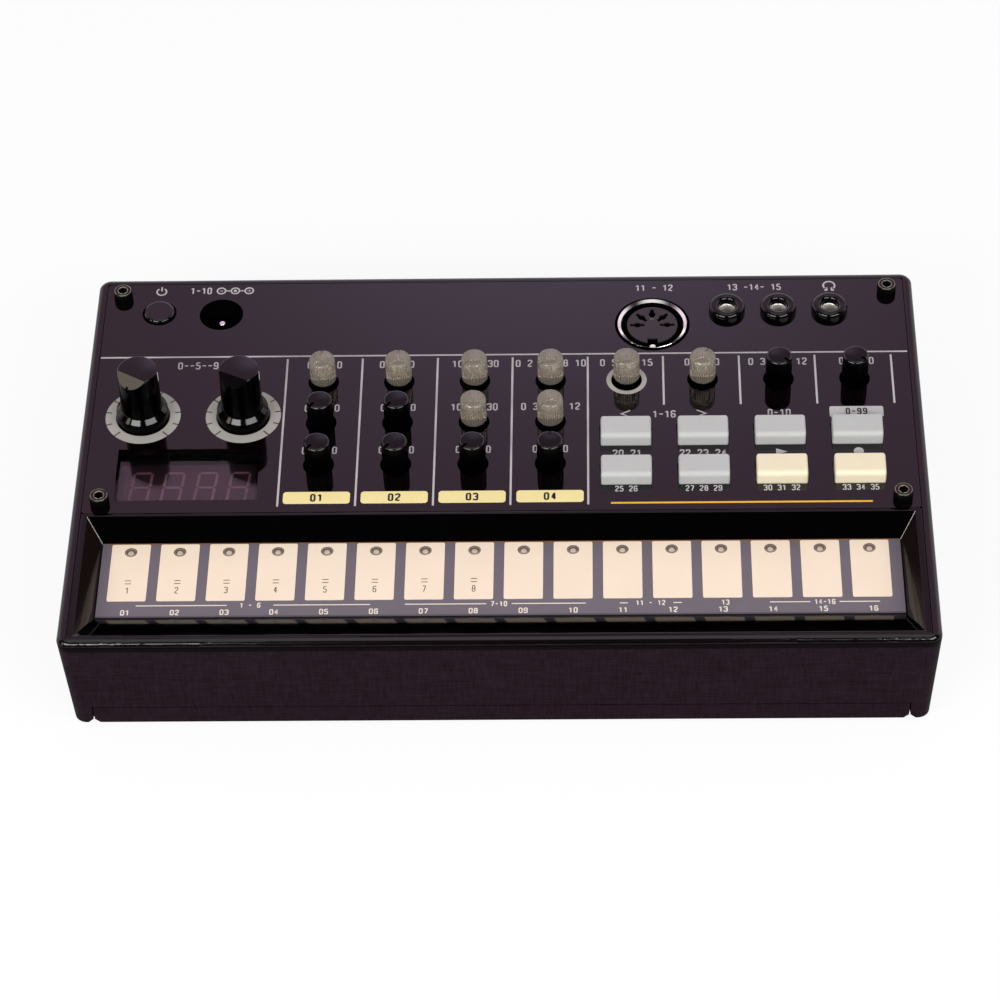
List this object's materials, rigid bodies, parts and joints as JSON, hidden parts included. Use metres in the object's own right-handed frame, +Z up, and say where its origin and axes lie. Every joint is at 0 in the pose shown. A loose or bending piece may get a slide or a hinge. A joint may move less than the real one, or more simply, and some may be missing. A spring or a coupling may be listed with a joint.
{
  "type": "drum machine",
  "caption": "Compact desktop drum machine: dark case with a gloss control panel, dials, slim knobs, push buttons, sockets, display window, a sunk strip of touch pads and a battery door",
  "frame": {"origin": "middle of the footprint, on the plane that the rubber feet stand on", "axes": "+X to the player's right along the case, +Y from the pads to the back of the case, +Z up out of the panel"},
  "size_m": [0.1928, 0.1148, 0.046],
  "materials": {
    "case_shell": "fine woven texture, near black with a purple tinge",
    "foot_rubber": "matt",
    "panel_gloss": "polished near black with pale printing",
    "lens_clear": "polished smoked window",
    "display_dark": "polished with grey segments",
    "board_green": "satin",
    "screw_steel": "satin",
    "screw_black": "blackened, satin",
    "frame_gloss": "polished",
    "strip_grey": "satin film",
    "pad_cream": "satin print",
    "light_red": "clear tinted",
    "pot_metal": "satin",
    "pot_plastic": "moulded",
    "power_black": "polished",
    "socket_chrome": "bright",
    "socket_grey": "moulded",
    "socket_black": "satin moulded",
    "contact_brass": "bright",
    "contact_steel": "plated",
    "speaker_metal": "satin",
    "speaker_paper": "matt paper",
    "dial_black": "satin moulded",
    "spindle_clear": "smoky translucent",
    "spindle_black": "satin moulded",
    "button_grey": "soft satin",
    "button_lit": "soft satin, translucent"
  },
  "bodies": {
    "case": {"upper_case": "case_shell", "lower_case": "case_shell", "rubber_feet": "foot_rubber", "top_panel": "panel_gloss", "display_lens": "lens_clear", "display_module": "display_dark", "control_board": "board_green", "board_screws": "screw_steel", "panel_screws": "screw_black", "case_screws": "screw_black", "pad_frame": "frame_gloss", "touch_strip": "strip_grey", "touch_pads": "pad_cream", "step_lights": "light_red", "key_board": "board_green", "dial_pots": "pot_metal", "spindle_pots": "pot_plastic", "push_switches": "pot_plastic", "din_shell": "socket_chrome", "din_insert": "socket_grey", "din_contacts": "contact_brass", "din_housing": "socket_black", "dc_inlet": "socket_black", "dc_pin": "socket_chrome", "jack_collars": "socket_black", "jack_sleeves": "socket_chrome", "jack_sockets": "socket_black", "battery_contacts": "contact_steel", "speaker_frame": "speaker_metal", "speaker_cone": "speaker_paper"},
    "dial_left": {"dial_knob_left": "dial_black", "dial_shaft_left": "screw_steel"},
    "dial_right": {"dial_knob_right": "dial_black", "dial_shaft_right": "screw_steel"},
    "spindle_c1_r1": {"spindle_c1_r1": "spindle_clear"},
    "spindle_c1_r2": {"spindle_c1_r2": "spindle_black"},
    "spindle_c1_r3": {"spindle_c1_r3": "spindle_black"},
    "spindle_c2_r1": {"spindle_c2_r1": "spindle_clear"},
    "spindle_c2_r2": {"spindle_c2_r2": "spindle_black"},
    "spindle_c2_r3": {"spindle_c2_r3": "spindle_black"},
    "spindle_c3_r1": {"spindle_c3_r1": "spindle_clear"},
    "spindle_c3_r2": {"spindle_c3_r2": "spindle_clear"},
    "spindle_c3_r3": {"spindle_c3_r3": "spindle_black"},
    "spindle_c4_r1": {"spindle_c4_r1": "spindle_clear"},
    "spindle_c4_r2": {"spindle_c4_r2": "spindle_clear"},
    "spindle_c4_r3": {"spindle_c4_r3": "spindle_black"},
    "spindle_c5_r1": {"spindle_c5_r1": "spindle_clear"},
    "spindle_c6_r1": {"spindle_c6_r1": "spindle_clear"},
    "spindle_c7_r1": {"spindle_c7_r1": "spindle_black"},
    "spindle_c8_r1": {"spindle_c8_r1": "spindle_black"},
    "button_a1": {"button_a1": "button_grey"},
    "button_a2": {"button_a2": "button_grey"},
    "button_a3": {"button_a3": "button_grey"},
    "button_a4": {"button_a4": "button_grey"},
    "button_b1": {"button_b1": "button_grey"},
    "button_b2": {"button_b2": "button_grey"},
    "button_b3": {"button_b3": "button_lit"},
    "button_b4": {"button_b4": "button_lit"},
    "power_button": {"power_button": "power_black"},
    "battery_door": {"battery_door": "case_shell"}
  },
  "joints": [
    {"name": "dial_left_turn", "type": "hinge", "parent": "case", "child": "dial_left", "pos_m": [-0.0825, 0.0115, 0.0307], "axis": [0, 0, 1], "range_deg": [-48, 222]},
    {"name": "dial_right_turn", "type": "hinge", "parent": "case", "child": "dial_right", "pos_m": [-0.0594, 0.0115, 0.0307], "axis": [0, 0, 1], "range_deg": [-48, 222]},
    {"name": "spindle_c1_r1_turn", "type": "hinge", "parent": "case", "child": "spindle_c1_r1", "pos_m": [-0.04138, 0.0221, 0.0307], "axis": [0, 0, 1], "range_deg": [-142, 138]},
    {"name": "spindle_c1_r2_turn", "type": "hinge", "parent": "case", "child": "spindle_c1_r2", "pos_m": [-0.04138, 0.00895, 0.0307], "axis": [0, 0, 1], "range_deg": [-273, 7]},
    {"name": "spindle_c1_r3_turn", "type": "hinge", "parent": "case", "child": "spindle_c1_r3", "pos_m": [-0.04138, -0.0042, 0.0307], "axis": [0, 0, 1], "range_deg": [-273, 7]},
    {"name": "spindle_c2_r1_turn", "type": "hinge", "parent": "case", "child": "spindle_c2_r1", "pos_m": [-0.02386, 0.0221, 0.0307], "axis": [0, 0, 1], "range_deg": [-138, 142]},
    {"name": "spindle_c2_r2_turn", "type": "hinge", "parent": "case", "child": "spindle_c2_r2", "pos_m": [-0.02386, 0.00895, 0.0307], "axis": [0, 0, 1], "range_deg": [-273, 7]},
    {"name": "spindle_c2_r3_turn", "type": "hinge", "parent": "case", "child": "spindle_c2_r3", "pos_m": [-0.02386, -0.0042, 0.0307], "axis": [0, 0, 1], "range_deg": [-272, 8]},
    {"name": "spindle_c3_r1_turn", "type": "hinge", "parent": "case", "child": "spindle_c3_r1", "pos_m": [-0.00634, 0.0221, 0.0307], "axis": [0, 0, 1], "range_deg": [-271, 9]},
    {"name": "spindle_c3_r2_turn", "type": "hinge", "parent": "case", "child": "spindle_c3_r2", "pos_m": [-0.00634, 0.00895, 0.0307], "axis": [0, 0, 1], "range_deg": [-272, 8]},
    {"name": "spindle_c3_r3_turn", "type": "hinge", "parent": "case", "child": "spindle_c3_r3", "pos_m": [-0.00634, -0.0042, 0.0307], "axis": [0, 0, 1], "range_deg": [-273, 7]},
    {"name": "spindle_c4_r1_turn", "type": "hinge", "parent": "case", "child": "spindle_c4_r1", "pos_m": [0.01118, 0.0221, 0.0307], "axis": [0, 0, 1], "range_deg": [-276, 4]},
    {"name": "spindle_c4_r2_turn", "type": "hinge", "parent": "case", "child": "spindle_c4_r2", "pos_m": [0.01118, 0.00895, 0.0307], "axis": [0, 0, 1], "range_deg": [-274, 6]},
    {"name": "spindle_c4_r3_turn", "type": "hinge", "parent": "case", "child": "spindle_c4_r3", "pos_m": [0.01118, -0.0042, 0.0307], "axis": [0, 0, 1], "range_deg": [-140, 140]},
    {"name": "spindle_c5_r1_turn", "type": "hinge", "parent": "case", "child": "spindle_c5_r1", "pos_m": [0.0287, 0.0221, 0.0307], "axis": [0, 0, 1], "range_deg": [-274, 6]},
    {"name": "spindle_c6_r1_turn", "type": "hinge", "parent": "case", "child": "spindle_c6_r1", "pos_m": [0.04622, 0.0221, 0.0307], "axis": [0, 0, 1], "range_deg": [-110, 170]},
    {"name": "spindle_c7_r1_turn", "type": "hinge", "parent": "case", "child": "spindle_c7_r1", "pos_m": [0.06374, 0.0221, 0.0307], "axis": [0, 0, 1], "range_deg": [-8, 272]},
    {"name": "spindle_c8_r1_turn", "type": "hinge", "parent": "case", "child": "spindle_c8_r1", "pos_m": [0.08126, 0.0221, 0.0307], "axis": [0, 0, 1], "range_deg": [-12, 268]},
    {"name": "button_a1_press", "type": "slide", "parent": "case", "child": "button_a1", "axis": [0, 0, -1], "range_m": [0, 0.0008], "stiffness_N_per_m": 800},
    {"name": "button_a2_press", "type": "slide", "parent": "case", "child": "button_a2", "axis": [0, 0, -1], "range_m": [0, 0.0008], "stiffness_N_per_m": 800},
    {"name": "button_a3_press", "type": "slide", "parent": "case", "child": "button_a3", "axis": [0, 0, -1], "range_m": [0, 0.0008], "stiffness_N_per_m": 800},
    {"name": "button_a4_press", "type": "slide", "parent": "case", "child": "button_a4", "axis": [0, 0, -1], "range_m": [0, 0.0008], "stiffness_N_per_m": 800},
    {"name": "button_b1_press", "type": "slide", "parent": "case", "child": "button_b1", "axis": [0, 0, -1], "range_m": [0, 0.0008], "stiffness_N_per_m": 800},
    {"name": "button_b2_press", "type": "slide", "parent": "case", "child": "button_b2", "axis": [0, 0, -1], "range_m": [0, 0.0008], "stiffness_N_per_m": 800},
    {"name": "button_b3_press", "type": "slide", "parent": "case", "child": "button_b3", "axis": [0, 0, -1], "range_m": [0, 0.0008], "stiffness_N_per_m": 800},
    {"name": "button_b4_press", "type": "slide", "parent": "case", "child": "button_b4", "axis": [0, 0, -1], "range_m": [0, 0.0008], "stiffness_N_per_m": 800},
    {"name": "power_button_press", "type": "slide", "parent": "case", "child": "power_button", "axis": [0, 0, -1], "range_m": [0, 0.0008], "stiffness_N_per_m": 800},
    {"name": "battery_door_open", "type": "hinge", "parent": "case", "child": "battery_door", "pos_m": [0, -0.02385, 0.0046], "axis": [1, 0, 0], "range_deg": [0, 80]}
  ]
}
